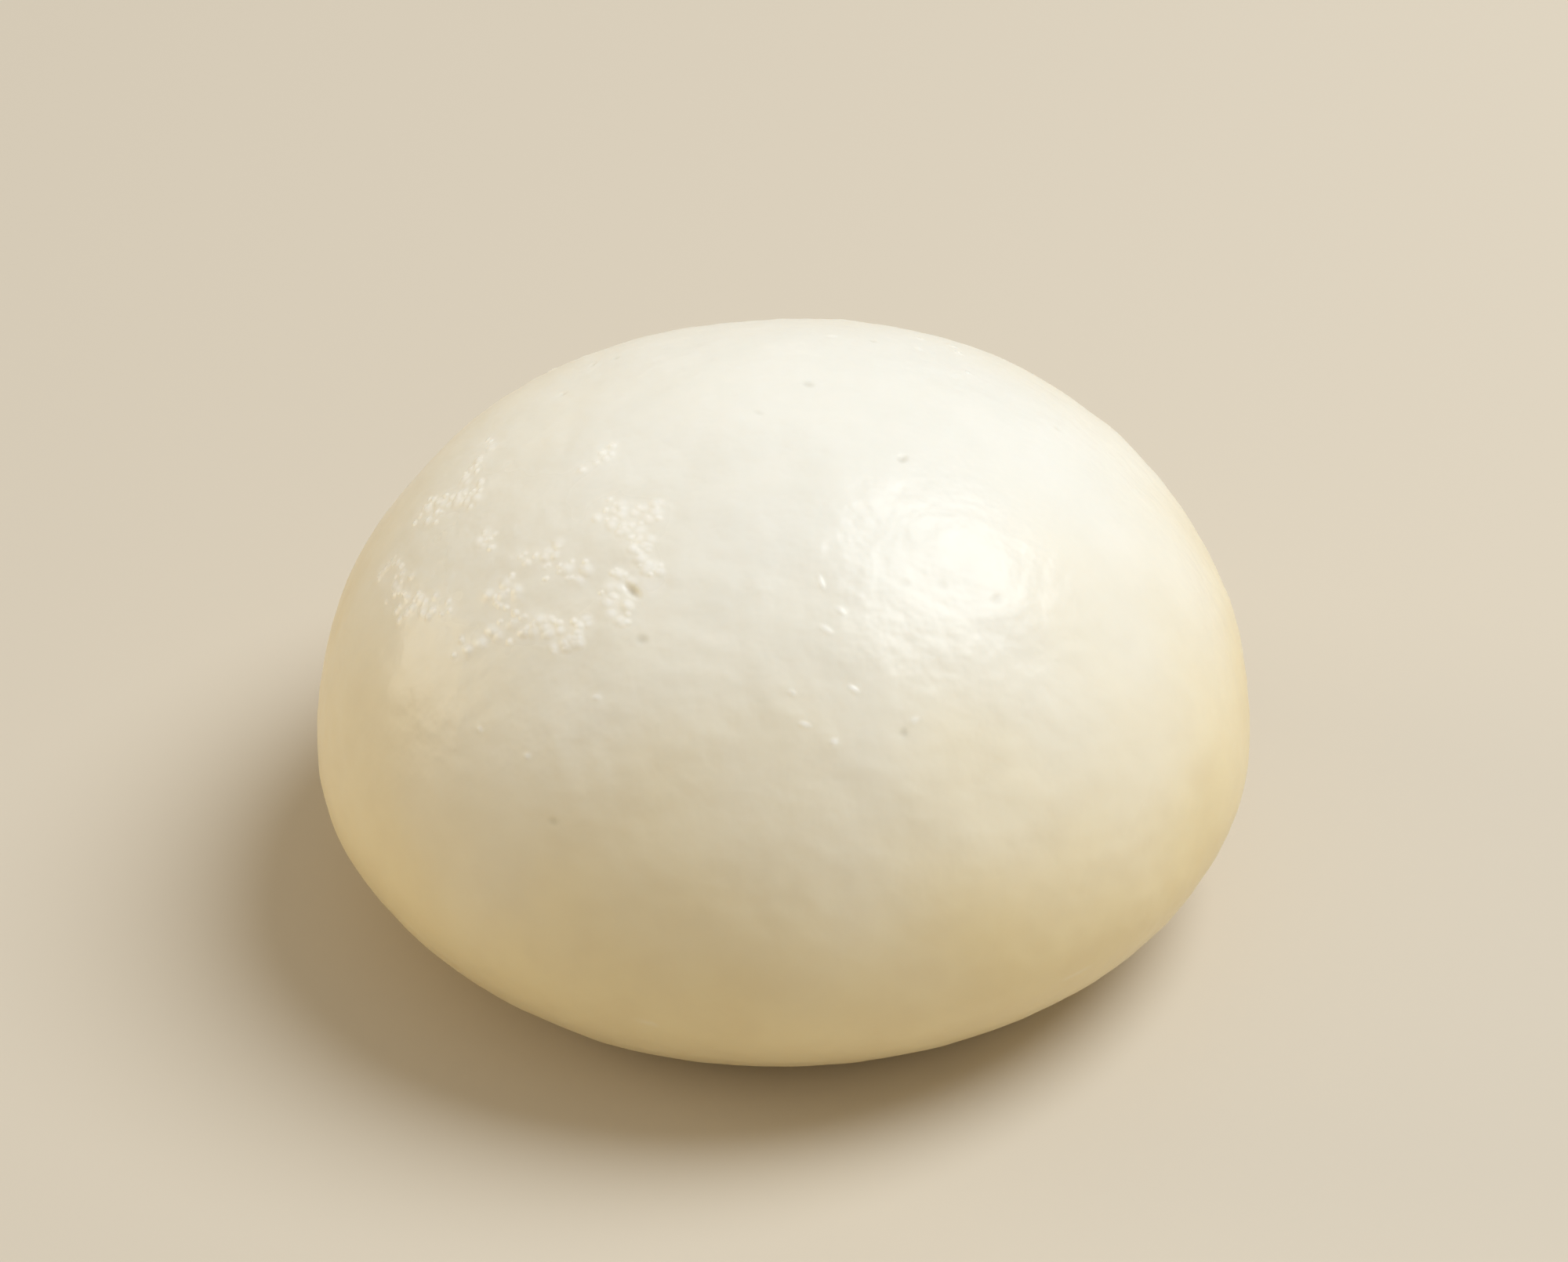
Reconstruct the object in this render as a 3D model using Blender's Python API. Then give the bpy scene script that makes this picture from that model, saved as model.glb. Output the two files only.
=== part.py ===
"""Steamed bun: one soft dome of white dough, resting on a flat foot.

Metres, +Z up. The origin is at the middle of the foot's underside, and the bun
is a little wider along X than along Y. Its front faces -Y.
"""

import math
from bisect import bisect_left
from dataclasses import dataclass

import bmesh
import bpy
from mathutils import Vector

# The driving sizes. The belly is the widest ring of the bun, low on its side.
WIDTH = 0.060
HEIGHT = 0.0363
BELLY_HEIGHT = 0.0116
FOOT_WIDTH = 0.0416

# The dome above the belly is a superellipse: 2 is an ellipse, less is more peaked.
DOME_FULLNESS = 1.94

# The flank below the belly rounds under on an ellipse, which would reach this far
# below the foot if the foot didn't cut it off.
CUT_OFF = 0.0030

# How much wider than round the bun is along its long axis, and how far that axis
# is turned from X.
OVALNESS = 0.010
OVAL_TURN = math.radians(12)

# The ball that becomes the bun: slices round it, rings down it, and which of the
# rings, counted from the crown, becomes the rim of the foot.
SLICES = 88
RINGS = 44
RIM_RING = 36

# Points along the outline from crown to rim, for measuring along it.
OUTLINE_POINTS = 400

# How far from the floor's level a point may be and still count as on it.
FLATNESS = 1e-6

RIM_ANGLE = math.radians(18)
DOUGH_COLOUR = (0.86, 0.82, 0.72, 1.0)
DOUGH_ROUGHNESS = 0.42


@dataclass(frozen=True)
class Swell:
    """A broad place where hand-rounded dough stands out, or lies flatter."""

    turn: float  # degrees round the bun, from +X towards +Y
    lift: float  # degrees above the belly, seen from the core
    spread: float  # degrees from the middle of the swell to where it fades
    height: float  # metres, below zero for a flat place


SWELLS = (
    Swell(turn=205, lift=18, spread=44, height=0.00028),  # left cheek
    Swell(turn=228, lift=60, spread=34, height=-0.00022),  # left of the crown
    Swell(turn=338, lift=44, spread=36, height=0.00024),  # right shoulder
    Swell(turn=92, lift=38, spread=40, height=-0.00032),  # flatter back
    Swell(turn=140, lift=8, spread=34, height=0.00028),  # rear left bulge
    Swell(turn=20, lift=-12, spread=32, height=-0.00026),  # tucked right heel
    Swell(turn=282, lift=4, spread=30, height=0.00016),  # front belly
)


def smooth_fade(share):
    """1 at a share of 0, falling smoothly to 0 at a share of 1 and beyond."""
    share = min(max(share, 0.0), 1.0)
    return (1 - share * share) ** 2


def direction(turn, lift):
    """The unit vector at these angles, in degrees, round and above the core."""
    turn, lift = math.radians(turn), math.radians(lift)
    level = math.cos(lift)
    return Vector((level * math.cos(turn), level * math.sin(turn), math.sin(lift)))


def dome_outline(points):
    """(radius, height) from the crown down to the belly."""
    for step in range(points):
        sweep = math.pi / 2 * step / points
        radius = WIDTH / 2 * math.sin(sweep) ** (2 / DOME_FULLNESS)
        rise = (HEIGHT - BELLY_HEIGHT) * math.cos(sweep) ** (2 / DOME_FULLNESS)
        yield radius, BELLY_HEIGHT + rise


def flank_outline(points):
    """(radius, height) from the belly down and under to the rim of the foot."""
    deep = BELLY_HEIGHT + CUT_OFF
    rim_sweep = math.asin(BELLY_HEIGHT / deep)
    # The ellipse's half-width is set so that it meets the foot at its rim.
    half_width = (WIDTH - FOOT_WIDTH) / 2 / (1 - math.cos(rim_sweep))
    for step in range(points + 1):
        sweep = rim_sweep * step / points
        tuck = half_width * (1 - math.cos(sweep))
        yield WIDTH / 2 - tuck, BELLY_HEIGHT - deep * math.sin(sweep)


class Outline:
    """The bun's profile from crown to rim, measured along its own length."""

    def __init__(self):
        half = OUTLINE_POINTS // 2
        self.points = [*dome_outline(half), *flank_outline(half)]
        self.lengths = [0.0]
        for before, after in zip(self.points, self.points[1:]):
            self.lengths.append(self.lengths[-1] + math.dist(before, after))

    def at(self, share):
        """(radius, height) at this share of the way from the crown to the rim."""
        length = share * self.lengths[-1]
        after = min(max(bisect_left(self.lengths, length), 1), len(self.lengths) - 1)
        gap = self.lengths[after] - self.lengths[after - 1]
        along = (length - self.lengths[after - 1]) / gap
        start, end = self.points[after - 1], self.points[after]
        return tuple(a + (b - a) * along for a, b in zip(start, end))


def widening(turn):
    """The factor by which the bun is wider than round in this direction."""
    return 1 + OVALNESS * math.cos(2 * (turn - OVAL_TURN))


def swelling(place, share):
    """How far the dough stands out at a place on the skin, none at the rim."""
    core = Vector((0, 0, BELLY_HEIGHT))
    towards = (place - core).normalized()
    height = 0.0
    for swell in SWELLS:
        apart = towards.angle(direction(swell.turn, swell.lift))
        height += swell.height * smooth_fade(apart / math.radians(swell.spread))
    return towards * height * (1 - share**6)


def on_bun(outline, ball_place):
    """Where a place on a ball of radius 1 comes to lie on the bun."""
    turn = math.atan2(ball_place.y, ball_place.x)
    polar = math.acos(min(max(ball_place.z, -1.0), 1.0))
    share = polar / math.pi * RINGS / RIM_RING
    if share > 1 + 1e-6:
        radius = FOOT_WIDTH / 2 * (1 - polar / math.pi) * RINGS / (RINGS - RIM_RING)
        height = 0.0
    else:
        radius, height = outline.at(min(share, 1.0))
    radius *= widening(turn)
    place = Vector((radius * math.cos(turn), radius * math.sin(turn), height))
    return place + swelling(place, min(share, 1.0))


def on_floor(face):
    """Whether all of a face lies on the level that the bun rests on."""
    return all(abs(vertex.co.z) < FLATNESS for vertex in face.verts)


def join_foot(dough):
    """Makes the flat foot one face."""
    foot = [face for face in dough.faces if on_floor(face)]
    bmesh.ops.dissolve_faces(dough, faces=foot)


def centre_on_foot(dough):
    """Moves the bun so that its box stands centred on the origin."""
    shift = Vector((0, 0, 0))
    for axis in range(2):
        places = [vertex.co[axis] for vertex in dough.verts]
        shift[axis] = -(min(places) + max(places)) / 2
    bmesh.ops.translate(dough, vec=shift, verts=dough.verts)


def dough_material():
    """Steamed dough: off-white, with a dull shine."""
    material = bpy.data.materials.new("steamed_dough")
    material.use_nodes = True
    shader = material.node_tree.nodes["Principled BSDF"]
    shader.inputs["Base Color"].default_value = DOUGH_COLOUR
    shader.inputs["Roughness"].default_value = DOUGH_ROUGHNESS
    shader.inputs["Metallic"].default_value = 0.0
    return material


def make_bun(collection):
    """The bun, one solid of dough."""
    dough = bmesh.new()
    bmesh.ops.create_uvsphere(dough, u_segments=SLICES, v_segments=RINGS, radius=1.0)
    outline = Outline()
    for vertex in dough.verts:
        vertex.co = on_bun(outline, vertex.co)
    join_foot(dough)
    centre_on_foot(dough)
    mesh = bpy.data.meshes.new("bun")
    dough.to_mesh(mesh)
    dough.free()
    mesh.shade_smooth()
    mesh.set_sharp_from_angle(angle=RIM_ANGLE)
    mesh.materials.append(dough_material())
    bun = bpy.data.objects.new("bun", mesh)
    collection.objects.link(bun)
    return bun


def main():
    for thing in list(bpy.data.objects):
        bpy.data.objects.remove(thing)
    collection = bpy.data.collections.new("steamed_bun")
    bpy.context.scene.collection.children.link(collection)
    make_bun(collection)


main()
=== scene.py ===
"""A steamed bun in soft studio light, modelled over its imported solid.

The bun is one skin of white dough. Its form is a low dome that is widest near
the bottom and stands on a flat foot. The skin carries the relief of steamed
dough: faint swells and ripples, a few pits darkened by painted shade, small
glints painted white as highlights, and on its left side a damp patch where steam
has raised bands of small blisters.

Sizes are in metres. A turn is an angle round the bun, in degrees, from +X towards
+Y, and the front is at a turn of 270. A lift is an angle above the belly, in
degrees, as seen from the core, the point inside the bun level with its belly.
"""

import logging
import math
from collections.abc import Iterable
from dataclasses import dataclass, field
from enum import Enum
from typing import Any

import bmesh
import bpy
import numpy as np
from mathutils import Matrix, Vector


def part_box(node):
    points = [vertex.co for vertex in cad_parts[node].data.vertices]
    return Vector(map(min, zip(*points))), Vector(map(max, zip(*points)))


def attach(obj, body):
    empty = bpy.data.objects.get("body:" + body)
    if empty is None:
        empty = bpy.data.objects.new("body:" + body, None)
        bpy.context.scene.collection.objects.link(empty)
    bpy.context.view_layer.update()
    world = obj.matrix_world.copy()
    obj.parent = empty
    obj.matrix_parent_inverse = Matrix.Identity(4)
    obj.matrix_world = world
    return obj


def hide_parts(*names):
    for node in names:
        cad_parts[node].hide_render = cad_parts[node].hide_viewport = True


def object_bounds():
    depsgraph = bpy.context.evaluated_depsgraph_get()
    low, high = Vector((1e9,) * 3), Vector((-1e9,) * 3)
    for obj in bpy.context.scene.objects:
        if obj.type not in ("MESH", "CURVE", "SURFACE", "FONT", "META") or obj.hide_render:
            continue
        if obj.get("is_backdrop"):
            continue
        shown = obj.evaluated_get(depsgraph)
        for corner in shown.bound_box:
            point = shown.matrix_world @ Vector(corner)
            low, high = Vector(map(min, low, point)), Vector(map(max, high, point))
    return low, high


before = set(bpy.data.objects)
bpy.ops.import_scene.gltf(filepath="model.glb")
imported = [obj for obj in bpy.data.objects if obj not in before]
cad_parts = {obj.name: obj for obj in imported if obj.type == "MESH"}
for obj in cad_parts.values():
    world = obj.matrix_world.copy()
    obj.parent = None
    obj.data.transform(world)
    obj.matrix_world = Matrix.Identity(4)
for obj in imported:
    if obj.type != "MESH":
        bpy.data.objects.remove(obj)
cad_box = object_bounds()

log = logging.getLogger("steamed_bun")

# How near to a level a point has to be to count as on it.
ON_LEVEL = 1e-5

Colour = tuple[float, float, float, float]
Span = tuple[float, float]
Points = np.ndarray
Numbers = np.ndarray


class Trait(Enum):
    """What the skin's attributes tell its material, each from 0 to 1."""

    DAMP = "damp"
    # White on the blisters, partly painted glint, and painted highlights on the glints.
    FLECK_AND_PAINTED_GLINT = "fleck_and_painted_glint"
    # Painted shade in the pits.
    PAINTED_PIT_SHADE = "painted_pit_shade"


# ---------------------------------------------------------------- shader maths


class Bench:
    """A material's node tree, and the one way in which nodes are added to it."""

    def __init__(self, tree: bpy.types.NodeTree) -> None:
        """Takes over a tree and empties it."""
        self.tree = tree
        tree.nodes.clear()

    def node(
        self, kind: str, settings: dict[str, Any] | None = None, inputs: dict[str, Any] | None = None
    ) -> bpy.types.Node:
        """Adds a node.

        Args:
            kind: the node's type, such as "ShaderNodeMath".
            settings: its properties, which are set before its sockets.
            inputs: a value, a Value or an output socket for each input's identifier.

        Returns:
            The new node.
        """
        made = self.tree.nodes.new(kind)
        for name, setting in (settings or {}).items():
            setattr(made, name, setting)
        sockets = {socket.identifier: socket for socket in made.inputs}
        for name, given in (inputs or {}).items():
            if isinstance(given, Value):
                given = given.socket
            if isinstance(given, bpy.types.NodeSocket):
                self.tree.links.new(given, sockets[name])
            else:
                sockets[name].default_value = given
        return made

    def value(self, kind: str, output: str, settings: dict[str, Any], inputs: dict[str, Any]) -> "Value":
        """Adds a node.

        Args:
            kind: the node's type.
            output: the name of the output that is wanted.
            settings: its properties.
            inputs: what goes into each input.

        Returns:
            That output, as a Value.
        """
        return Value(self, self.node(kind, settings, inputs).outputs[output])

    def place(self) -> bpy.types.NodeSocket:
        """The place on the object, in metres."""
        return self.node("ShaderNodeTexCoord").outputs["Object"]

    def trait(self, trait: Trait) -> "Value":
        """One of the skin's attributes."""
        return self.value("ShaderNodeAttribute", "Fac", {"attribute_name": trait.value}, {})

    def noise(self, place: bpy.types.NodeSocket, grain: float, detail: float = 2.0) -> "Value":
        """Smooth noise from 0 to 1.

        Args:
            place: the coordinate it is read at.
            grain: the size of its largest blots, in metres.
            detail: how many finer layers are laid over them.

        Returns:
            The noise.
        """
        inputs = {"Vector": place, "Scale": 1 / grain, "Detail": detail}
        return self.value("ShaderNodeTexNoise", "Fac", {}, inputs)

    def blend(self, share: "Value | float", first: Any, second: Any) -> bpy.types.NodeSocket:
        """Mixes two colours.

        Args:
            share: how much of the second colour there is.
            first: a colour, or the socket of one.
            second: a colour, or the socket of one.

        Returns:
            The socket of the mixed colour.
        """
        inputs = {"Factor_Float": share, "A_Color": first, "B_Color": second}
        mixed = self.node("ShaderNodeMix", {"data_type": "RGBA"}, inputs)
        return next(socket for socket in mixed.outputs if socket.identifier == "Result_Color")

    def finish(self, shader: bpy.types.Node) -> None:
        """Sends a shader to the surface."""
        self.node("ShaderNodeOutputMaterial", {}, {"Surface": shader.outputs[0]})


class Value:
    """A number that varies over a surface, with the arithmetic of a number."""

    def __init__(self, bench: Bench, socket: bpy.types.NodeSocket) -> None:
        """Holds the socket that gives the number."""
        self.bench = bench
        self.socket = socket

    def _math(self, operation: str, *numbers: "Value | float") -> "Value":
        """Adds a Math node.

        Args:
            operation: what it does.
            numbers: what it does it to.

        Returns:
            The result.
        """
        names = ("Value", "Value_001", "Value_002")
        return self.bench.value(
            "ShaderNodeMath", "Value", {"operation": operation}, dict(zip(names, numbers))
        )

    def __add__(self, other: "Value | float") -> "Value":
        """This plus the other."""
        return self._math("ADD", self, other)

    __radd__ = __add__

    def __sub__(self, other: "Value | float") -> "Value":
        """This less the other."""
        return self._math("SUBTRACT", self, other)

    def __rsub__(self, other: float) -> "Value":
        """The other less this."""
        return self._math("SUBTRACT", other, self)

    def __mul__(self, other: "Value | float") -> "Value":
        """This times the other."""
        return self._math("MULTIPLY", self, other)

    __rmul__ = __mul__

    def ramp(self, low: float, high: float) -> "Value":
        """Rises smoothly from 0 to 1 as this goes from low to high.

        Args:
            low: the number at which the result is 0.
            high: the number at which it is 1. It may be below low.

        Returns:
            The eased result.
        """
        settings = {"interpolation_type": "SMOOTHSTEP"}
        inputs = {"Value": self, "From Min": low, "From Max": high}
        return self.bench.value("ShaderNodeMapRange", "Result", settings, inputs)


# -------------------------------------------------------------------- finishes


@dataclass(frozen=True)
class SteamedDough:
    """The finish of steamed dough: off-white, soft, and a little moist.

    The crown is whiter, with cooler blots. Towards the foot it turns to a darker,
    yellower flank, along a border that wanders: painted shade and painted warm
    bounced light low on the bun. Damp skin, white blisters (their white partly
    painted glint), glints painted white as highlights, and painted shade in the
    pits are laid over that.
    """

    crown: Colour = (0.92, 0.914, 0.866, 1)
    # The flank colours, darker and yellower, are painted shade and painted warm bounced light.
    flank: Colour = (0.89, 0.755, 0.455, 1)
    painted_shade_flank_blot: Colour = (0.84, 0.70, 0.42, 1)
    cool: Colour = (0.872, 0.872, 0.822, 1)
    damp: Colour = (0.87, 0.84, 0.75, 1)
    # White of the blisters, partly painted glint, and of the glints, painted highlight.
    fleck_and_painted_glint: Colour = (0.99, 0.985, 0.955, 1)
    # Painted shade in the pits.
    painted_pit_shade: Colour = (0.42, 0.39, 0.30, 1)
    roughness: float = 0.31
    damp_roughness: float = 0.24
    fleck_roughness: float = 0.14
    refraction: float = 1.37
    scatter_share: float = 0.80
    scatter_reach: tuple[float, float, float] = (1.0, 0.72, 0.45)
    scatter_depth: float = 0.0022
    # Heights between which the crown colour turns to the painted shade of the flank.
    painted_shade_top: float = 0.036
    painted_shade_bottom: float = 0.008
    border_grain: float = 0.012
    border_wander: float = 0.012
    mottle_grain: float = 0.0035
    blot_edges: Span = (0.30, 0.75)
    crown_blots: float = 0.45
    flank_blots: float = 0.60
    even_damp: float = 0.35
    mottled_damp: float = 0.5
    # How strongly the white of blisters and painted glints, and the painted shade in the pits, show.
    fleck_and_painted_glint_share: float = 0.95
    painted_pit_shade_share: float = 0.75
    mottled_roughness: float = 0.10
    wrinkle_grain: float = 0.0010
    wrinkle_depth: float = 0.000068
    smooth_below: float = 0.008
    wrinkled_above: float = 0.030
    low_wrinkles: float = 0.3

    def material(self) -> bpy.types.Material:
        """Makes the finish.

        Returns:
            The material.
        """
        material = bpy.data.materials.new("steamed_dough")
        material.use_nodes = True
        bench = Bench(material.node_tree)
        place = bench.place()
        damp = bench.trait(Trait.DAMP)
        fleck_and_painted_glint = bench.trait(Trait.FLECK_AND_PAINTED_GLINT)
        mottle = bench.noise(place, self.mottle_grain)
        inputs = {
            "Base Color": self._colour(bench, place, damp, fleck_and_painted_glint, mottle),
            "Roughness": self._roughness(damp, fleck_and_painted_glint, mottle),
            "Normal": self._grain(bench, place),
            "Subsurface Weight": self.scatter_share,
            "Subsurface Radius": self.scatter_reach,
            "Subsurface Scale": self.scatter_depth,
            "IOR": self.refraction,
        }
        settings = {"subsurface_method": "BURLEY"}
        bench.finish(bench.node("ShaderNodeBsdfPrincipled", settings, inputs))
        return material

    def _colour(
        self, bench: Bench, place: bpy.types.NodeSocket, damp: Value, fleck_and_painted_glint: Value, mottle: Value
    ) -> bpy.types.NodeSocket:
        """The colour: whiter on the crown, darker and yellower on the flank as painted shade and painted
        warm bounced light, mottled all over.

        Args:
            bench: the material's bench.
            place: the place on the skin.
            damp: where the skin is damp.
            fleck_and_painted_glint: where a blister stands up white, partly as painted glint, and where
                glints are painted white.
            mottle: the uneven tone of the dough.

        Returns:
            The socket of the colour.
        """
        height = bench.value("ShaderNodeSeparateXYZ", "Z", {}, {"Vector": place})
        wander = (bench.noise(place, self.border_grain, 1.0) - 0.5) * self.border_wander
        # Painted shade and painted warm bounced light: darker and yellower below a wandering height.
        painted_shade_share = (height + wander).ramp(self.painted_shade_top, self.painted_shade_bottom)
        blots = mottle.ramp(*self.blot_edges)
        high_tone = bench.blend(blots * self.crown_blots, self.crown, self.cool)
        painted_shade_tone = bench.blend(blots * self.flank_blots, self.flank, self.painted_shade_flank_blot)
        tone = bench.blend(painted_shade_share, high_tone, painted_shade_tone)
        dampness = damp * (self.even_damp + self.mottled_damp * mottle)
        tone = bench.blend(dampness, tone, self.damp)
        # White on the blisters, partly painted glint, and painted highlights on the glints.
        tone = bench.blend(fleck_and_painted_glint * self.fleck_and_painted_glint_share, tone, self.fleck_and_painted_glint)
        # Painted shade in the pits.
        return bench.blend(bench.trait(Trait.PAINTED_PIT_SHADE) * self.painted_pit_shade_share, tone, self.painted_pit_shade)

    def _roughness(self, damp: Value, fleck_and_painted_glint: Value, mottle: Value) -> Value:
        """The roughness: uneven, lower where the skin is damp, lowest on blisters.

        Args:
            damp: where the skin is damp.
            fleck_and_painted_glint: where a blister stands up white, partly as painted glint, and where
                glints are painted white.
            mottle: the uneven tone of the dough.

        Returns:
            The roughness.
        """
        uneven = (mottle - 0.5) * self.mottled_roughness
        rough = self.roughness + uneven + damp * (self.damp_roughness - self.roughness)
        return rough + fleck_and_painted_glint * (self.fleck_roughness - self.damp_roughness)

    def _grain(self, bench: Bench, place: bpy.types.NodeSocket) -> bpy.types.NodeSocket:
        """Bends the normal by wrinkles too fine for the mesh, fainter low down.

        Args:
            bench: the material's bench.
            place: the place on the skin.

        Returns:
            The socket of the normal.
        """
        level = bench.value("ShaderNodeSeparateXYZ", "Z", {}, {"Vector": place})
        high_up = level.ramp(self.smooth_below, self.wrinkled_above)
        share = self.low_wrinkles + (1 - self.low_wrinkles) * high_up
        height = bench.noise(place, self.wrinkle_grain, 1.0) * share * self.wrinkle_depth
        bump = bench.node("ShaderNodeBump", {}, {"Height": height, "Distance": 1.0, "Strength": 1.0})
        return bump.outputs["Normal"]


@dataclass(frozen=True)
class MattPaint:
    """A plain matt finish, for the floor."""

    name: str
    colour: Colour
    roughness: float = 0.7

    def material(self) -> bpy.types.Material:
        """Makes the finish.

        Returns:
            The material.
        """
        material = bpy.data.materials.new(self.name)
        material.use_nodes = True
        bench = Bench(material.node_tree)
        inputs = {"Base Color": self.colour, "Roughness": self.roughness}
        bench.finish(bench.node("ShaderNodeBsdfPrincipled", {}, inputs))
        return material


# ------------------------------------------------------------------- the form


def ease(share: Numbers) -> Numbers:
    """Falls smoothly from 1 to 0.

    Args:
        share: how far along each is.

    Returns:
        1 at a share of 0, and 0 at a share of 1 and beyond.
    """
    held = np.clip(share, 0.0, 1.0)
    return (1 - held * held) ** 2


def direction(turn: float, lift: float) -> Points:
    """Looks out from the core.

    Args:
        turn: the angle round, in degrees.
        lift: the angle above level, in degrees.

    Returns:
        The unit vector that way.
    """
    turn, lift = math.radians(turn), math.radians(lift)
    level = math.cos(lift)
    return np.array([level * math.cos(turn), level * math.sin(turn), math.sin(lift)])


@dataclass(frozen=True)
class Swell:
    """A broad place where hand-rounded dough stands out, or lies flatter.

    The spread is in degrees, from its middle to where it fades out.
    """

    turn: float
    lift: float
    spread: float
    height: float


@dataclass(frozen=True)
class BunForm:
    """The bun's smooth form, as its solid has it.

    The dome is a superellipse of the given fullness, and the flank is an ellipse
    that would reach on below the foot by the cut-off.
    """

    width: float = 0.060
    height: float = 0.0363
    belly_height: float = 0.0116
    foot_width: float = 0.0416
    dome_fullness: float = 1.94
    cut_off: float = 0.0030
    ovalness: float = 0.010
    oval_turn: float = math.radians(12)
    swells: tuple[Swell, ...] = (
        Swell(turn=205, lift=18, spread=44, height=0.00028),
        Swell(turn=228, lift=60, spread=34, height=-0.00022),
        Swell(turn=338, lift=44, spread=36, height=0.00024),
        Swell(turn=92, lift=38, spread=40, height=-0.00032),
        Swell(turn=140, lift=8, spread=34, height=0.00028),
        Swell(turn=20, lift=-12, spread=32, height=-0.00026),
        Swell(turn=282, lift=4, spread=30, height=0.00016),
    )
    swell_fade: int = 6
    outline_points: int = 1200

    @property
    def core(self) -> Points:
        """The point inside the bun, level with its belly, that swells look from."""
        return np.array([0.0, 0.0, self.belly_height])

    def outline(self) -> tuple[Numbers, Numbers, Numbers]:
        """The profile from the crown to the rim of the foot.

        Returns:
            The radius, the height, and the share of the way from crown to rim.
        """
        sweep = np.linspace(0, math.pi / 2, self.outline_points, endpoint=False)
        power = 2 / self.dome_fullness
        dome_radius = self.width / 2 * np.sin(sweep) ** power
        dome_height = self.belly_height + (self.height - self.belly_height) * np.cos(sweep) ** power
        deep = self.belly_height + self.cut_off
        rim_sweep = math.asin(self.belly_height / deep)
        tuck = (self.width - self.foot_width) / 2 / (1 - math.cos(rim_sweep))
        under = np.linspace(0, rim_sweep, self.outline_points)
        radius = np.concatenate([dome_radius, self.width / 2 - tuck * (1 - np.cos(under))])
        height = np.concatenate([dome_height, self.belly_height - deep * np.sin(under)])
        steps = np.hypot(np.diff(radius), np.diff(height))
        length = np.concatenate([[0.0], np.cumsum(steps)])
        return radius, height, length / length[-1]

    def skin(self, turn: Numbers, share: Numbers) -> Points:
        """Places on the bun's skin.

        Args:
            turn: the angle round the bun, in radians, from +X towards +Y.
            share: the share of the way from the crown to the rim of the foot.

        Returns:
            The places, one row for each.
        """
        radius, height, along = self.outline()
        reach = np.interp(share, along, radius)
        reach = reach * (1 + self.ovalness * np.cos(2 * (turn - self.oval_turn)))
        level = np.interp(share, along, height)
        places = np.stack([reach * np.cos(turn), reach * np.sin(turn), level], axis=1)
        towards = places - self.core
        towards /= np.linalg.norm(towards, axis=1, keepdims=True)
        lift = np.zeros(len(places))
        for swell in self.swells:
            apart = np.arccos(np.clip(towards @ direction(swell.turn, swell.lift), -1, 1))
            lift += swell.height * ease(apart / math.radians(swell.spread))
        return places + towards * (lift * (1 - share**self.swell_fade))[:, None]


# ------------------------------------------------------------------- the relief


@dataclass(frozen=True)
class Ripples:
    """Even, aimless unevenness, made of many crossing waves."""

    wavelength: float
    height: float
    seed: int
    waves: int = 36
    spread: Span = (0.75, 1.4)

    def at(self, places: Points) -> Numbers:
        """Works out how far the skin stands out.

        Args:
            places: places on the skin.

        Returns:
            The height at each.
        """
        draw = np.random.default_rng(self.seed)
        headings = draw.normal(size=(self.waves, 3))
        headings /= np.linalg.norm(headings, axis=1, keepdims=True)
        lengths = self.wavelength * draw.uniform(*self.spread, self.waves)
        phases = draw.uniform(0, 2 * math.pi, self.waves)
        swing = np.cos(places @ (headings * (2 * math.pi / lengths)[:, None]).T + phases)
        return swing.sum(axis=1) * self.height / math.sqrt(self.waves / 2)


@dataclass(frozen=True)
class Mark:
    """A small bump or dent, longer one way than the other.

    Along and across are its half-lengths. The heading is the angle of its long way
    from level, in degrees, anticlockwise as seen from outside. A dent's height is
    below zero. The tint is how strongly it shows its trait, from 0 to 1.
    """

    turn: float
    lift: float
    along: float
    across: float
    height: float
    heading: float = 0.0
    tint: float = 1.0


@dataclass(frozen=True)
class BlisterBand:
    """A strip of damp skin where steam has raised small blisters.

    It runs between two places, each a turn and a lift. The width is measured from
    its middle line to its edge, and the fill is how closely the blisters stand on
    it, from 0 to 1.
    """

    start: Span
    end: Span
    width: float = 0.0014
    fill: float = 0.6


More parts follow.
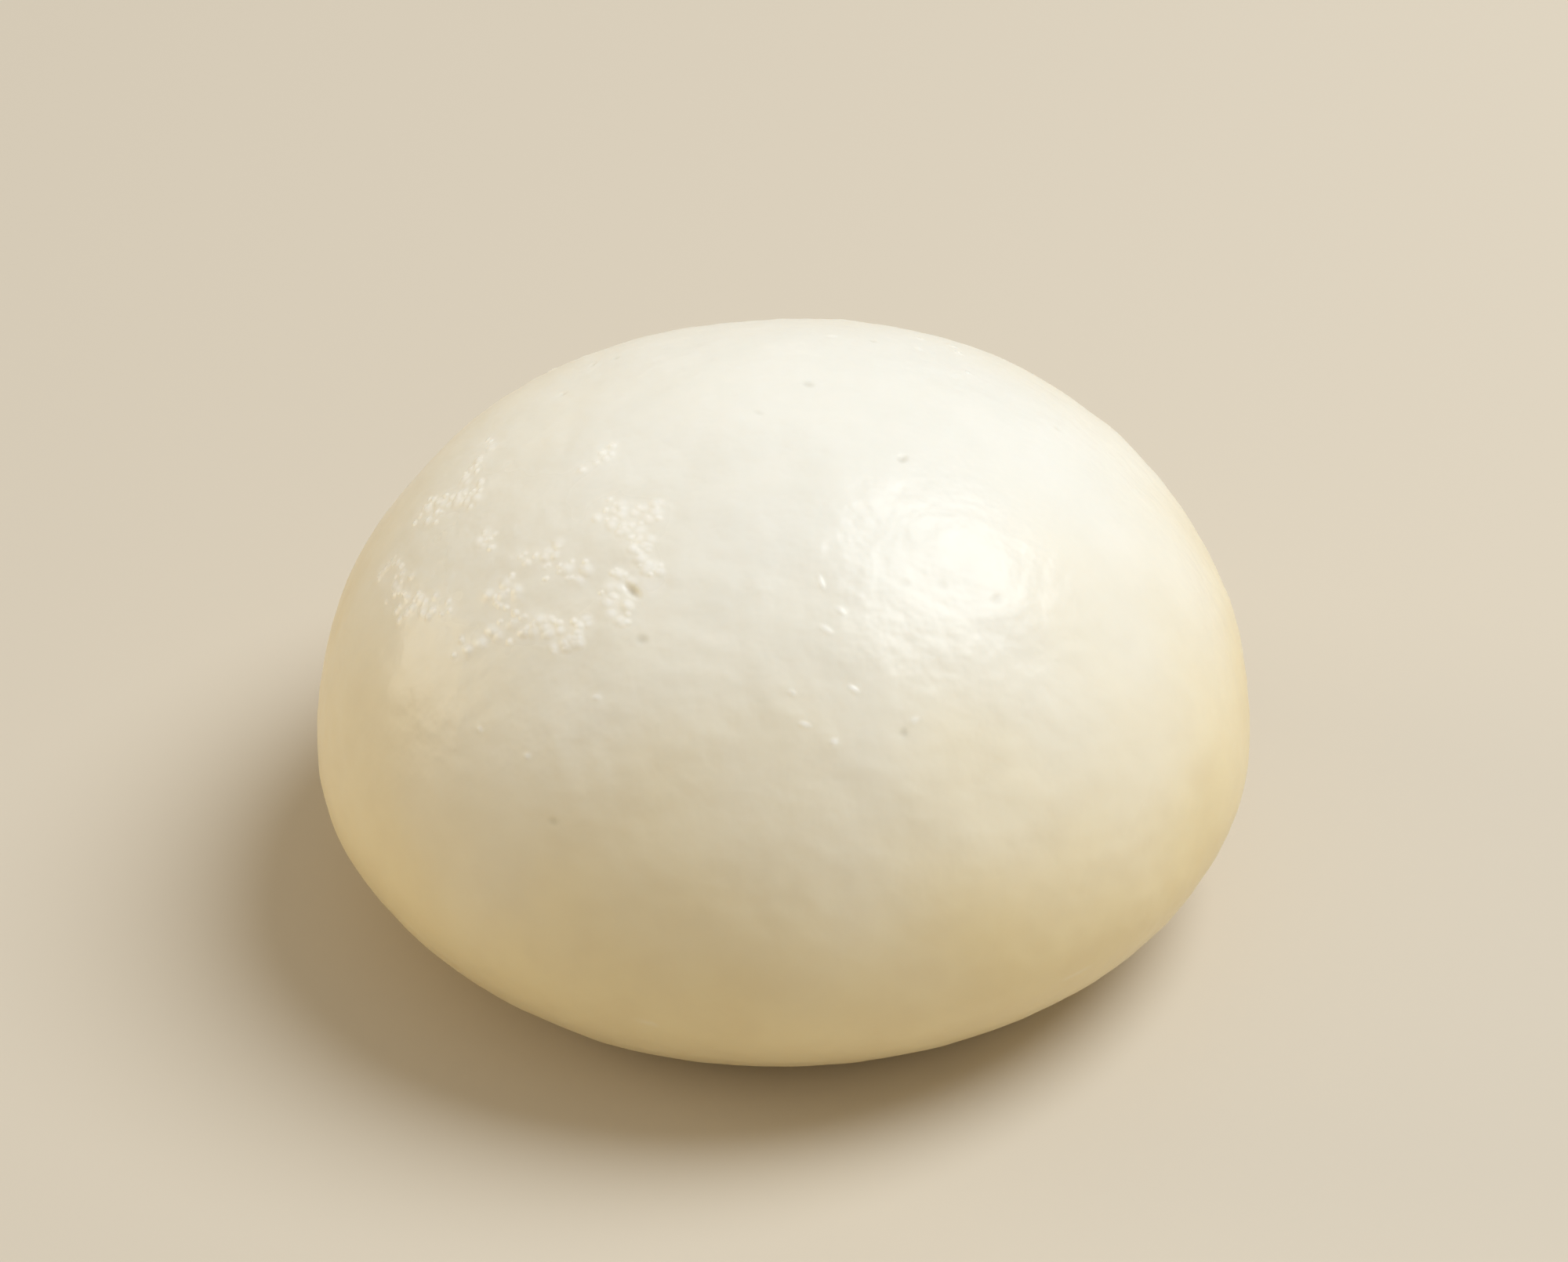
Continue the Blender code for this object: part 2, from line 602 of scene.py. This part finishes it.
@dataclass(frozen=True)
class Blisters:
    """How the blisters in every band look: small, roundish and scattered.

    The crowding is how many blisters a square metre of a full band has, and the
    haze is how white the skin between them is, from 0 to 1. The reach is how far
    the skin is from the core. The overrun is how far past a band's ends they go, as
    a share of its length. The gathering is from 0, where most stand on the middle
    line, to 1, where they are even.
    """

    smallest: float = 0.00027
    largest: float = 0.00074
    flatness: float = 0.78
    height: float = 0.000095
    crowding: float = 2.0e6
    haze: float = 0.28
    reach: float = 0.028
    overrun: float = 0.08
    gathering: float = 0.25
    height_shares: Span = (0.6, 1.2)
    slants: Span = (-30, 30)
    tints: Span = (0.50, 1.0)
    seed: int = 31

    def scatter(self, band: BlisterBand, draw: np.random.Generator) -> Iterable[Mark]:
        """Scatters a band's blisters, closest together along its middle line.

        Args:
            band: the strip of skin that they stand on.
            draw: what they are drawn with.

        Yields:
            Each blister.
        """
        start, end = np.array(band.start), np.array(band.end)
        level = math.cos(math.radians((start[1] + end[1]) / 2))
        metres_a_degree = math.radians(1) * self.reach * np.array([level, 1.0])
        way = (end - start) * metres_a_degree
        length = math.hypot(*way)
        side = np.array([-way[1], way[0]]) / length
        area = (length + band.width) * 2 * band.width
        for _ in range(round(area * self.crowding * band.fill)):
            along = way * draw.uniform(-self.overrun, 1 + self.overrun)
            off = draw.uniform(-1, 1) * draw.uniform(self.gathering, 1)
            turn, lift = start + (along + side * off * band.width) / metres_a_degree
            # The square leaves a few large ones among many small ones.
            size = self.smallest + (self.largest - self.smallest) * draw.uniform(0, 1) ** 2
            yield Mark(
                turn=turn,
                lift=lift,
                along=size,
                across=size * self.flatness,
                height=self.height * draw.uniform(*self.height_shares),
                heading=draw.uniform(*self.slants),
                tint=draw.uniform(*self.tints),
            )


@dataclass
class Relief:
    """The skin's small relief, and what it tells the finish."""

    places: Points
    normals: Points
    core: Points
    towards: Points = field(init=False)
    height: Numbers = field(init=False)
    traits: dict[Trait, Numbers] = field(init=False)

    def __post_init__(self) -> None:
        """Starts with flat, dry, plain skin."""
        self.height = np.zeros(len(self.places))
        self.traits = {trait: np.zeros(len(self.places)) for trait in Trait}
        towards = self.places - self.core
        self.towards = towards / np.linalg.norm(towards, axis=1, keepdims=True)

    def spot(self, turn: float, lift: float) -> int:
        """Finds the point of the skin nearest to a direction from the core.

        Args:
            turn: the angle round, in degrees.
            lift: the angle above level, in degrees.

        Returns:
            The point's number.
        """
        return int(np.argmax(self.towards @ direction(turn, lift)))

    def nearness(self, mark: Mark) -> Numbers:
        """Works out how near each place is to the middle of a mark.

        Args:
            mark: the mark.

        Returns:
            1 at its middle, falling to 0 at its edge.
        """
        middle = self.spot(mark.turn, mark.lift)
        normal = self.normals[middle]
        level = np.cross((0.0, 0.0, 1.0), normal)
        level /= np.linalg.norm(level)
        upward = np.cross(normal, level)
        slant = math.radians(mark.heading)
        long_way = level * math.cos(slant) + upward * math.sin(slant)
        short_way = upward * math.cos(slant) - level * math.sin(slant)
        offset = self.places - self.places[middle]
        along = offset @ long_way / mark.along
        across = offset @ short_way / mark.across
        deep = offset @ normal / max(mark.along, mark.across)
        return ease(np.sqrt(along**2 + across**2 + deep**2))

    def off_band(self, band: BlisterBand) -> Numbers:
        """Works out how far each place is from the middle line of a band.

        Args:
            band: the band.

        Returns:
            The distance along the skin.
        """
        start = self.places[self.spot(*band.start)]
        way = self.places[self.spot(*band.end)] - start
        offset = self.places - start
        along = np.clip(offset @ way / (way @ way), 0, 1)
        aside = offset - along[:, None] * way
        outward = (aside * self.normals).sum(axis=1)
        return np.linalg.norm(aside - outward[:, None] * self.normals, axis=1)

    def add(self, mark: Mark, trait: Trait | None = None) -> None:
        """Raises or dents the skin, and marks it with a trait.

        Args:
            mark: the bump or dent.
            trait: the trait that it gives the skin, if any.
        """
        near = self.nearness(mark)
        self.height += near * mark.height
        if trait is not None:
            self.traits[trait] = np.maximum(self.traits[trait], near * mark.tint)

    def blister(self, bands: Iterable[BlisterBand], blisters: Blisters) -> None:
        """Raises the blisters of all the bands.

        Args:
            bands: the strips of skin that they stand on.
            blisters: how they look.
        """
        draw = np.random.default_rng(blisters.seed)
        raised = np.zeros(len(self.places))
        # The white of the blisters, partly painted glint.
        white = self.traits[Trait.FLECK_AND_PAINTED_GLINT]
        for band in bands:
            near = ease((self.off_band(band) / band.width) ** 2)
            white = np.maximum(white, near * band.fill * blisters.haze)
            for drop in blisters.scatter(band, draw):
                near = self.nearness(drop)
                raised = np.maximum(raised, near * drop.height)
                white = np.maximum(white, near * drop.tint)
        self.height += raised
        self.traits[Trait.FLECK_AND_PAINTED_GLINT] = white


# --------------------------------------------------------------------- the bun


@dataclass(frozen=True)
class FarSide:
    """How stray pits with painted shade and glints painted white as highlights lie on the side turned away
    from the front.
    """

    # Stray pits, darkened by painted shade.
    shaded_pits: int = 12
    shaded_pit_height: float = -0.00006
    pit_shade_tint: float = 0.30
    # Stray glints, painted white as highlights.
    glints: int = 16
    glint_height: float = 0.00006
    glint_tint: float = 0.60
    turns: Span = (20, 165)
    lifts: Span = (-5, 72)
    lengths: Span = (0.00036, 0.00060)
    breadths: Span = (0.00026, 0.00040)
    headings: Span = (-60, 30)
    tint_shares: Span = (0.6, 1.2)

    def stray(self, draw: np.random.Generator, height: float, tint: float) -> Mark:
        """Places a mark somewhere on the far side.

        Args:
            draw: what it is drawn with.
            height: how far it stands out.
            tint: how strongly it shows its trait.

        Returns:
            The mark.
        """
        return Mark(
            turn=draw.uniform(*self.turns),
            lift=draw.uniform(*self.lifts),
            along=draw.uniform(*self.lengths),
            across=draw.uniform(*self.breadths),
            height=height,
            heading=draw.uniform(*self.headings),
            tint=tint * draw.uniform(*self.tint_shares),
        )


@dataclass
class BunSkin:
    """The bun's whole skin, from crown to foot, as one closed piece.

    The skin is a ball of squares, cut off at the rim angle, measured from the
    crown, and closed there by rings at shares of the foot's radius. Its squares are
    halved twice near bands and marks, as far from each as the refine margins say.
    """

    form: BunForm = BunForm()
    finish: SteamedDough = SteamedDough()
    squares_along_edge: int = 108
    rim_angle: float = math.radians(125)
    foot_rings: tuple[float, ...] = (0.985, 0.93, 0.80, 0.60, 0.36, 0.15)
    refine_margins: Span = (0.0003, -0.0002)
    mark_clearance: float = 1.2
    relief_fade: int = 10
    ripples: tuple[Ripples, ...] = (
        Ripples(wavelength=0.015, height=0.000065, seed=11),
        Ripples(wavelength=0.0055, height=0.000022, seed=12),
        Ripples(wavelength=0.0024, height=0.000008, seed=13),
        Ripples(wavelength=0.0017, height=0.000010, seed=14),
    )
    damp_patches: tuple[Mark, ...] = (
        Mark(turn=206, lift=45, along=0.0135, across=0.0085, height=0, heading=-14),
        Mark(turn=226, lift=54, along=0.0060, across=0.0065, height=0),
    )
    blisters: Blisters = Blisters()
    bands: tuple[BlisterBand, ...] = (
        BlisterBand(start=(181, 35), end=(187, 44), width=0.0017, fill=0.86),
        BlisterBand(start=(181, 43), end=(170, 45), width=0.0012, fill=0.50),
        BlisterBand(start=(197, 44), end=(205, 42), width=0.0009, fill=0.85),
        BlisterBand(start=(186, 28), end=(200, 30), width=0.0014, fill=0.92),
        BlisterBand(start=(200, 30), end=(207, 34), width=0.0010, fill=0.66),
        BlisterBand(start=(212, 41), end=(216, 40), width=0.0013, fill=0.88),
        BlisterBand(start=(214, 31), end=(217, 36), width=0.0008, fill=0.75),
        BlisterBand(start=(217, 37), end=(226, 40), width=0.0014, fill=0.92),
        BlisterBand(start=(226, 40), end=(233, 42), width=0.0010, fill=0.80),
        BlisterBand(start=(226, 39), end=(233, 39), width=0.0009, fill=0.78),
        BlisterBand(start=(218, 46), end=(225, 49), width=0.0011, fill=0.85),
        BlisterBand(start=(210, 45), end=(219, 50), width=0.0010, fill=0.55),
        BlisterBand(start=(216, 57), end=(232, 61), width=0.0013, fill=0.88),
        BlisterBand(start=(222, 55), end=(230, 57), width=0.0012, fill=0.75),
        BlisterBand(start=(231, 56), end=(241, 51), width=0.0012, fill=0.95),
        BlisterBand(start=(233, 51), end=(234, 47), width=0.0010, fill=0.92),
        BlisterBand(start=(235, 47), end=(240, 45), width=0.0009, fill=0.80),
        BlisterBand(start=(199, 59), end=(199, 64), width=0.0009, fill=0.50),
        BlisterBand(start=(74, 29), end=(87, 25), width=0.0013, fill=0.66),
        BlisterBand(start=(118, 22), end=(126, 28), width=0.0011, fill=0.60),
    )
    # Pits, each darkened by painted shade as strongly as its tint says.
    pits: tuple[Mark, ...] = (
        Mark(turn=237.5, lift=49.0, along=0.00098, across=0.00044, height=-0.00022, heading=-20, tint=0.60),
        Mark(turn=41, lift=85.5, along=0.00062, across=0.00050, height=-0.00006, tint=0.32),
        Mark(turn=322.5, lift=68.8, along=0.00062, across=0.00046, height=-0.00008, heading=10, tint=0.40),
        Mark(turn=243.8, lift=43.3, along=0.00060, across=0.00050, height=-0.00007, tint=0.40),
        Mark(turn=312, lift=44.7, along=0.00066, across=0.00056, height=-0.00004, tint=0.26),
        Mark(turn=296, lift=51.5, along=0.00064, across=0.00046, height=-0.00003, tint=0.15),
        Mark(turn=303.5, lift=49.4, along=0.00058, across=0.00048, height=-0.00003, tint=0.14),
        Mark(turn=10, lift=49, along=0.00050, across=0.00040, height=-0.00005, tint=0.22),
        Mark(turn=231, lift=84, along=0.00060, across=0.00035, height=-0.00004, tint=0.18),
        Mark(turn=287.5, lift=32.6, along=0.00045, across=0.00045, height=-0.00005, tint=0.40),
        Mark(turn=239.7, lift=19, along=0.00050, across=0.00040, height=-0.00005, tint=0.32),
    )
    # Glints: small glossy bumps painted white as highlights.
    glints: tuple[Mark, ...] = (
        Mark(turn=281, lift=38.8, along=0.00055, across=0.00026, height=0.00007, heading=-42, tint=0.8),
        Mark(turn=273, lift=34.8, along=0.00060, across=0.00026, height=0.00006, heading=-20, tint=0.7),
        Mark(turn=277, lift=32.6, along=0.00040, across=0.00032, height=0.00007, heading=0, tint=0.8),
        Mark(turn=289.6, lift=33.7, along=0.00045, across=0.00030, height=0.00005, heading=20, tint=0.5),
        Mark(turn=281, lift=49.5, along=0.00055, across=0.00028, height=0.00006, heading=-50, tint=0.6),
        Mark(turn=277.7, lift=47, along=0.00070, across=0.00032, height=0.00006, heading=-40, tint=0.6),
        Mark(turn=271, lift=39, along=0.00045, across=0.00026, height=0.00005, heading=-30, tint=0.4),
        Mark(turn=225, lift=25.3, along=0.00042, across=0.00026, height=0.00005, heading=-20, tint=0.6),
        Mark(turn=240.5, lift=34.5, along=0.00042, across=0.00028, height=0.00005, heading=0, tint=0.6),
        Mark(turn=233.5, lift=25, along=0.00040, across=0.00030, height=0.00005, heading=10, tint=0.6),
        Mark(turn=278, lift=54, along=0.00070, across=0.00026, height=0.00006, heading=-75, tint=0.6),
    )
    far_side: FarSide = FarSide()
    far_side_seed: int = 41
    creases: tuple[Mark, ...] = (
        Mark(turn=32, lift=62, along=0.0046, across=0.00060, height=-0.00007, heading=-12),
        Mark(turn=16, lift=51, along=0.0030, across=0.00060, height=-0.00007, heading=-30),
        Mark(turn=16, lift=37, along=0.0040, across=0.00060, height=-0.00007, heading=-50),
    )

    def __post_init__(self) -> None:
        """Scatters pits with painted shade and glints painted white over the far side too, like those in
        front.
        """
        far = self.far_side
        draw = np.random.default_rng(self.far_side_seed)
        for _ in range(far.shaded_pits):
            self.pits += (far.stray(draw, far.shaded_pit_height, far.pit_shade_tint),)
        for _ in range(far.glints):
            self.glints += (far.stray(draw, far.glint_height, far.glint_tint),)

    def build(self) -> bpy.types.Object:
        """Models the skin.

        Returns:
            The finished piece, in place.
        """
        dough = self._ball()
        self._refine(dough)
        mesh = bpy.data.meshes.new("bun_skin")
        dough.to_mesh(mesh)
        dough.free()
        self._shape(mesh)
        mesh.shade_smooth()
        skin = bpy.data.objects.new("bun_skin", mesh)
        bpy.context.scene.collection.objects.link(skin)
        return skin

    def dress(self, skin: bpy.types.Object) -> None:
        """Gives the skin its finish."""
        skin.data.materials.append(self.finish.material())

    def _ball(self) -> bmesh.types.BMesh:
        """Makes a ball of even squares, cut flat where the foot will be.

        Returns:
            The ball, of radius 1.
        """
        ball = bmesh.new()
        bmesh.ops.create_cube(ball, size=2.0)
        bmesh.ops.subdivide_edges(
            ball, edges=ball.edges, cuts=self.squares_along_edge - 1, use_grid_fill=True
        )
        for vertex in ball.verts:
            # The tangent spaces the squares by equal angles, so they stay even.
            spaced = [math.tan(step * math.pi / 4) for step in vertex.co]
            vertex.co = Vector(spaced).normalized()
        cut = bmesh.ops.bisect_plane(
            ball,
            geom=ball.verts[:] + ball.edges[:] + ball.faces[:],
            dist=ON_LEVEL / 10,
            plane_co=(0, 0, math.cos(self.rim_angle)),
            plane_no=(0, 0, -1),
            clear_outer=True,
        )
        rim = [part for part in cut["geom_cut"] if isinstance(part, bmesh.types.BMEdge)]
        self._fill_foot(ball, rim)
        return ball

    def _fill_foot(self, ball: bmesh.types.BMesh, rim: list[bmesh.types.BMEdge]) -> None:
        """Closes the foot with narrowing rings and a small middle face.

        Args:
            ball: the ball.
            rim: the edges round its cut.
        """
        radius = math.sin(self.rim_angle)
        ring = rim
        for share in self.foot_rings:
            grown = bmesh.ops.extrude_edge_only(ball, edges=ring)["geom"]
            ring = [part for part in grown if isinstance(part, bmesh.types.BMEdge)]
            corners = {vertex for edge in ring for vertex in edge.verts}
            ring = [edge for edge in ring if all(vertex in corners for vertex in edge.verts)]
            for vertex in corners:
                level = math.hypot(vertex.co.x, vertex.co.y)
                vertex.co.x *= radius * share / level
                vertex.co.y *= radius * share / level
        bmesh.ops.contextual_create(ball, geom=ring)
        bmesh.ops.recalc_face_normals(ball, faces=ball.faces)

    def _on_bun(self, ball_places: Points) -> tuple[Points, Numbers]:
        """Where places on the ball come to lie on the smooth bun.

        Args:
            ball_places: places on the ball of radius 1, or on its flat foot.

        Returns:
            The places on the bun, and each one's share of the way to the rim.
        """
        turn = np.arctan2(ball_places[:, 1], ball_places[:, 0])
        level = np.hypot(ball_places[:, 0], ball_places[:, 1])
        polar = np.arctan2(level, ball_places[:, 2])
        share = np.clip(polar / self.rim_angle, 0, 1)
        places = self.form.skin(turn, share)
        foot = ball_places[:, 2] < math.cos(self.rim_angle) + ON_LEVEL
        inward = np.where(foot, level / math.sin(self.rim_angle), 1.0)
        places[foot, 2] = 0.0
        places[:, :2] *= np.minimum(inward, 1.0)[:, None]
        share[foot] = 1.0
        return places, share

    def _refine(self, ball: bmesh.types.BMesh) -> None:
        """Cuts the squares finer where the skin has blisters, pits and glints.

        Args:
            ball: the ball.
        """
        for margin in self.refine_margins:
            middles = np.array([face.calc_center_median() for face in ball.faces])
            normals = np.array([face.normal for face in ball.faces])
            middles, _ = self._on_bun(middles)
            guide = Relief(middles, normals, self.form.core)
            near = np.zeros(len(middles), bool)
            for band in self.bands:
                near |= guide.off_band(band) < band.width + margin
            for mark in self.pits + self.glints:
                apart = middles - middles[guide.spot(mark.turn, mark.lift)]
                clear = mark.along * self.mark_clearance + margin
                near |= np.linalg.norm(apart, axis=1) < clear
            ball.faces.ensure_lookup_table()
            edges = {edge for index in np.flatnonzero(near) for edge in ball.faces[index].edges}
            bmesh.ops.subdivide_edges(ball, edges=list(edges), cuts=1, use_grid_fill=True)
            for vertex in ball.verts:
                if vertex.co.z > math.cos(self.rim_angle) + 10 * ON_LEVEL:
                    vertex.co.normalize()

    def _shape(self, mesh: bpy.types.Mesh) -> None:
        """Gives the ball's mesh the bun's form, its relief and its traits.

        Args:
            mesh: the ball's mesh.
        """
        ball_places = np.empty(len(mesh.vertices) * 3, np.float32)
        mesh.vertices.foreach_get("co", ball_places)
        places, share = self._on_bun(ball_places.reshape(-1, 3).astype(float))
        mesh.vertices.foreach_set("co", places.astype(np.float32).ravel())
        mesh.update()
        normals = np.empty(len(mesh.vertices) * 3, np.float32)
        mesh.vertex_normals.foreach_get("vector", normals)
        normals = normals.reshape(-1, 3).astype(float)
        relief = self._relief(places, normals)
        fade = 1 - share**self.relief_fade
        places += normals * (relief.height * fade)[:, None]
        places -= self._off_centre(places)
        mesh.vertices.foreach_set("co", places.astype(np.float32).ravel())
        mesh.update()
        for trait, amount in relief.traits.items():
            attribute = mesh.attributes.new(trait.value, "FLOAT", "POINT")
            attribute.data.foreach_set("value", amount.astype(np.float32))

    def _relief(self, places: Points, normals: Points) -> Relief:
        """Works the skin's small relief.

        Args:
            places: places on the skin.
            normals: the way that each faces.

        Returns:
            The relief, with its traits.
        """
        relief = Relief(places, normals, self.form.core)
        for ripples in self.ripples:
            relief.height += ripples.at(places)
        for patch in self.damp_patches:
            relief.add(patch, Trait.DAMP)
        relief.blister(self.bands, self.blisters)
        # Painted shade in the pits, and glints painted white as highlights.
        for pit in self.pits:
            relief.add(pit, Trait.PAINTED_PIT_SHADE)
        for glint in self.glints:
            relief.add(glint, Trait.FLECK_AND_PAINTED_GLINT)
        for crease in self.creases:
            relief.add(crease)
        return relief

    def _off_centre(self, places: Points) -> Points:
        """Measures how far the skin is off the middle of the solid's box.

        Args:
            places: places on the skin.

        Returns:
            The step that takes the box's middle to the skin's, level with the floor.
        """
        low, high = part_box("bun")
        middle = (np.array(low) + np.array(high)) / 2
        shift = (places.min(axis=0) + places.max(axis=0)) / 2 - middle
        shift[2] = 0.0
        return shift


# ------------------------------------------------------------------ the studio


@dataclass(frozen=True)
class SoftLamp:
    """A round soft lamp aimed at the bun. The size is its width."""

    name: str
    turn: float
    lift: float
    distance: float
    size: float
    power: float
    colour: tuple[float, float, float] = (1.0, 1.0, 1.0)

    def hang(self, target: Points) -> None:
        """Hangs the lamp in place.

        Args:
            target: the point that it shines on.
        """
        lamp = bpy.data.lights.new(self.name, "AREA")
        lamp.shape = "DISK"
        lamp.size = self.size
        lamp.energy = self.power
        lamp.color = self.colour
        holder = bpy.data.objects.new(self.name, lamp)
        away = Vector(direction(self.turn, self.lift))
        holder.location = Vector(target) + away * self.distance
        holder.rotation_euler = away.to_track_quat("Z", "Y").to_euler()
        holder.visible_camera = False
        bpy.context.scene.collection.objects.link(holder)


@dataclass
class Studio:
    """The pale floor, the soft light and the camera."""

    floor_width: float = 4.0
    floor_finish: MattPaint = MattPaint("pale_floor", (0.68, 0.62, 0.53, 1))
    surround: Colour = (1.0, 0.885, 0.705, 1)
    surround_strength: float = 0.405
    lamps: tuple[SoftLamp, ...] = (
        SoftLamp(
            name="key_lamp",
            turn=14,
            lift=59,
            distance=0.9,
            size=0.60,
            power=6.5,
            colour=(0.93, 0.975, 1.0),
        ),
        SoftLamp(
            name="left_fill",
            turn=166,
            lift=14,
            distance=2.6,
            size=1.3,
            power=15.5,
            colour=(1.0, 0.86, 0.60),
        ),
    )
    camera_turn: float = 270
    camera_lift: float = 35.5
    camera_distance: float = 0.30
    sensor_width: float = 36.0
    nearest_seen: float = 0.01
    bun_share_of_frame: float = 0.60

    def lay_floor(self) -> bpy.types.Object:
        """Lays the floor.

        Returns:
            The floor.
        """
        sheet = bmesh.new()
        bmesh.ops.create_grid(sheet, x_segments=1, y_segments=1, size=self.floor_width / 2)
        mesh = bpy.data.meshes.new("floor")
        sheet.to_mesh(mesh)
        sheet.free()
        mesh.materials.append(self.floor_finish.material())
        floor = bpy.data.objects.new("floor", mesh)
        bpy.context.scene.collection.objects.link(floor)
        return floor

    def light(self, target: Points) -> None:
        """Hangs the lamps, and lights the surround.

        Args:
            target: the point that the lamps shine on.
        """
        for lamp in self.lamps:
            lamp.hang(target)
        world = bpy.data.worlds.new("studio")
        world.use_nodes = True
        bench = Bench(world.node_tree)
        inputs = {"Color": self.surround, "Strength": self.surround_strength}
        backdrop = bench.node("ShaderNodeBackground", {}, inputs)
        bench.node("ShaderNodeOutputWorld", {}, {"Surface": backdrop.outputs[0]})
        bpy.context.scene.world = world
        bpy.context.scene.view_settings.view_transform = "Standard"

    def set_camera(self, target: Points, width: float) -> None:
        """Sets up the camera.

        Args:
            target: the point that it looks at.
            width: the width of the bun.
        """
        lens = bpy.data.cameras.new("camera")
        lens.sensor_width = self.sensor_width
        lens.clip_start = self.nearest_seen
        view_width = width / self.bun_share_of_frame
        lens.lens = lens.sensor_width * self.camera_distance / view_width
        camera = bpy.data.objects.new("camera", lens)
        away = Vector(direction(self.camera_turn, self.camera_lift))
        camera.location = Vector(target) + away * self.camera_distance
        camera.rotation_euler = away.to_track_quat("Z", "Y").to_euler()
        bpy.context.scene.collection.objects.link(camera)
        bpy.context.scene.camera = camera


def main() -> None:
    """Builds the bun and its studio in order, and reports each piece."""
    logging.basicConfig(level=logging.INFO, format="%(name)s: %(message)s")
    low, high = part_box("bun")
    middle = (np.array(low) + np.array(high)) / 2

    maker = BunSkin()
    skin = maker.build()
    maker.dress(skin)
    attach(skin, "root")
    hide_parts("bun")
    skin.data.calc_loop_triangles()
    log.info("%s: %d triangles", skin.name, len(skin.data.loop_triangles))

    studio = Studio()
    floor = studio.lay_floor()
    floor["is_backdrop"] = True
    log.info("%s: %.1f m wide", floor.name, studio.floor_width)
    studio.light(middle)
    studio.set_camera(middle, high[0] - low[0])

    boxes = {"cad": cad_box, "visual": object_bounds()}
    plain = {name: [list(corner) for corner in box] for name, box in boxes.items()}


if __name__ == "__main__":
    main()
